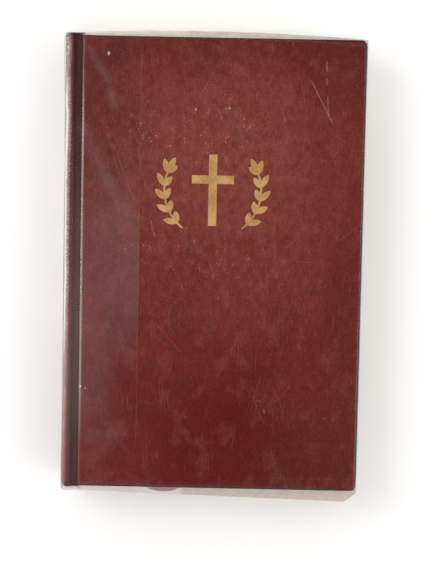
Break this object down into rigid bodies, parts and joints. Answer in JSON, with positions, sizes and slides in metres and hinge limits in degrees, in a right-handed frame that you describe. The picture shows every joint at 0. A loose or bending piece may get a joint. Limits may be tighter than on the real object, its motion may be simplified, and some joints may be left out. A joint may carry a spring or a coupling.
{
  "type": "bible",
  "caption": "Closed hardback bible in a clear slip-on jacket, with a gilt cross ornament, sewn page sections and a ribbon marker; it opens flat at the middle.",
  "frame": {"origin": "under the middle of the closed book, on the surface that it lies on", "axes": "+X from the spine to the fore edge, +Y from the tail to the head, +Z from the back cover up to the front cover"},
  "size_m": [0.144, 0.2232, 0.034],
  "materials": {
    "clear_film": "clear vinyl, scuffed, whitish at the welds",
    "cover_cloth": "maroon imitation leather, worn",
    "greyboard": "grey binder's board",
    "inlay_card": "spine card",
    "endpaper": "matt cream endpaper",
    "page_paper": "thin cream printing paper",
    "mull_gauze": "open cotton gauze",
    "glue": "dried bookbinder's glue",
    "kraft_paper": "brown kraft liner",
    "band_cloth": "striped band",
    "ribbon": "woven satin ribbon",
    "gold_foil": "worn gilt foil"
  },
  "bodies": {
    "back_cover": {"jacket_back_sleeve": "clear_film", "back_cover_cloth": "cover_cloth", "back_board": "greyboard", "back_mull_wing": "mull_gauze", "back_pastedown": "endpaper", "back_flyleaf": "endpaper"},
    "spine": {"spine_cloth": "cover_cloth", "spine_inlay": "inlay_card", "jacket_spine": "clear_film", "spine_liner": "kraft_paper", "mull_spine": "mull_gauze", "spine_glue": "glue", "head_band": "band_cloth", "tail_band": "band_cloth", "back_joint_cloth": "cover_cloth", "front_joint_cloth": "cover_cloth", "jacket_back_joint": "clear_film", "jacket_front_joint": "clear_film"},
    "front_cover": {"jacket_front_sleeve": "clear_film", "front_cover_cloth": "cover_cloth", "cover_ornament": "gold_foil", "front_board": "greyboard", "front_mull_wing": "mull_gauze", "front_pastedown": "endpaper", "front_flyleaf": "endpaper"},
    "back_pages_1": {"back_section_1": "page_paper"},
    "back_pages_2": {"back_section_2": "page_paper"},
    "back_pages_3": {"back_section_3": "page_paper"},
    "back_pages_4": {"back_section_4": "page_paper"},
    "back_pages_5": {"back_section_5": "page_paper"},
    "back_pages_6": {"back_section_6": "page_paper", "ribbon_marker": "ribbon"},
    "front_pages_1": {"front_section_1": "page_paper"},
    "front_pages_2": {"front_section_2": "page_paper"},
    "front_pages_3": {"front_section_3": "page_paper"},
    "front_pages_4": {"front_section_4": "page_paper"},
    "front_pages_5": {"front_section_5": "page_paper"},
    "front_pages_6": {"front_section_6": "page_paper"}
  },
  "joints": [
    {"name": "spine_fold", "type": "hinge", "parent": "back_cover", "child": "spine", "pos_m": [-0.0684, 0, 0.0038], "axis": [0, -1, 0], "range_deg": [0, 90], "deforming": ["back_joint_cloth", "jacket_back_joint", "spine_glue", "mull_spine", "spine_liner"]},
    {"name": "front_cover_fold", "type": "hinge", "parent": "spine", "child": "front_cover", "pos_m": [-0.0684, 0, 0.0302], "axis": [0, -1, 0], "range_deg": [0, 90], "deforming": ["front_joint_cloth", "jacket_front_joint"]},
    {"name": "back_pages_1_shift", "type": "slide", "parent": "back_cover", "child": "back_pages_1", "axis": [-1, 0, 0], "range_m": [0, 0.00215]},
    {"name": "back_pages_2_shift", "type": "slide", "parent": "back_cover", "child": "back_pages_2", "axis": [-1, 0, 0], "range_m": [0, 0.0043]},
    {"name": "back_pages_3_shift", "type": "slide", "parent": "back_cover", "child": "back_pages_3", "axis": [-1, 0, 0], "range_m": [0, 0.00645]},
    {"name": "back_pages_4_shift", "type": "slide", "parent": "back_cover", "child": "back_pages_4", "axis": [-1, 0, 0], "range_m": [0, 0.0086]},
    {"name": "back_pages_5_shift", "type": "slide", "parent": "back_cover", "child": "back_pages_5", "axis": [-1, 0, 0], "range_m": [0, 0.01075]},
    {"name": "back_pages_6_shift", "type": "slide", "parent": "back_cover", "child": "back_pages_6", "axis": [-1, 0, 0], "range_m": [0, 0.0129]},
    {"name": "front_pages_1_shift", "type": "slide", "parent": "front_cover", "child": "front_pages_1", "axis": [-1, 0, 0], "range_m": [0, 0.00215]},
    {"name": "front_pages_2_shift", "type": "slide", "parent": "front_cover", "child": "front_pages_2", "axis": [-1, 0, 0], "range_m": [0, 0.0043]},
    {"name": "front_pages_3_shift", "type": "slide", "parent": "front_cover", "child": "front_pages_3", "axis": [-1, 0, 0], "range_m": [0, 0.00645]},
    {"name": "front_pages_4_shift", "type": "slide", "parent": "front_cover", "child": "front_pages_4", "axis": [-1, 0, 0], "range_m": [0, 0.0086]},
    {"name": "front_pages_5_shift", "type": "slide", "parent": "front_cover", "child": "front_pages_5", "axis": [-1, 0, 0], "range_m": [0, 0.01075]},
    {"name": "front_pages_6_shift", "type": "slide", "parent": "front_cover", "child": "front_pages_6", "axis": [-1, 0, 0], "range_m": [0, 0.0129]}
  ],
  "couplings": [
    {"joint": "front_cover_fold", "follows": "spine_fold", "ratio": 1},
    {"joint": "back_pages_1_shift", "follows": "spine_fold", "m_per_rad": 0.0013687},
    {"joint": "back_pages_2_shift", "follows": "spine_fold", "m_per_rad": 0.0027374},
    {"joint": "back_pages_3_shift", "follows": "spine_fold", "m_per_rad": 0.0041061},
    {"joint": "back_pages_4_shift", "follows": "spine_fold", "m_per_rad": 0.0054749},
    {"joint": "back_pages_5_shift", "follows": "spine_fold", "m_per_rad": 0.0068436},
    {"joint": "back_pages_6_shift", "follows": "spine_fold", "m_per_rad": 0.0082123},
    {"joint": "front_pages_1_shift", "follows": "spine_fold", "m_per_rad": 0.0013687},
    {"joint": "front_pages_2_shift", "follows": "spine_fold", "m_per_rad": 0.0027374},
    {"joint": "front_pages_3_shift", "follows": "spine_fold", "m_per_rad": 0.0041061},
    {"joint": "front_pages_4_shift", "follows": "spine_fold", "m_per_rad": 0.0054749},
    {"joint": "front_pages_5_shift", "follows": "spine_fold", "m_per_rad": 0.0068436},
    {"joint": "front_pages_6_shift", "follows": "spine_fold", "m_per_rad": 0.0082123}
  ]
}
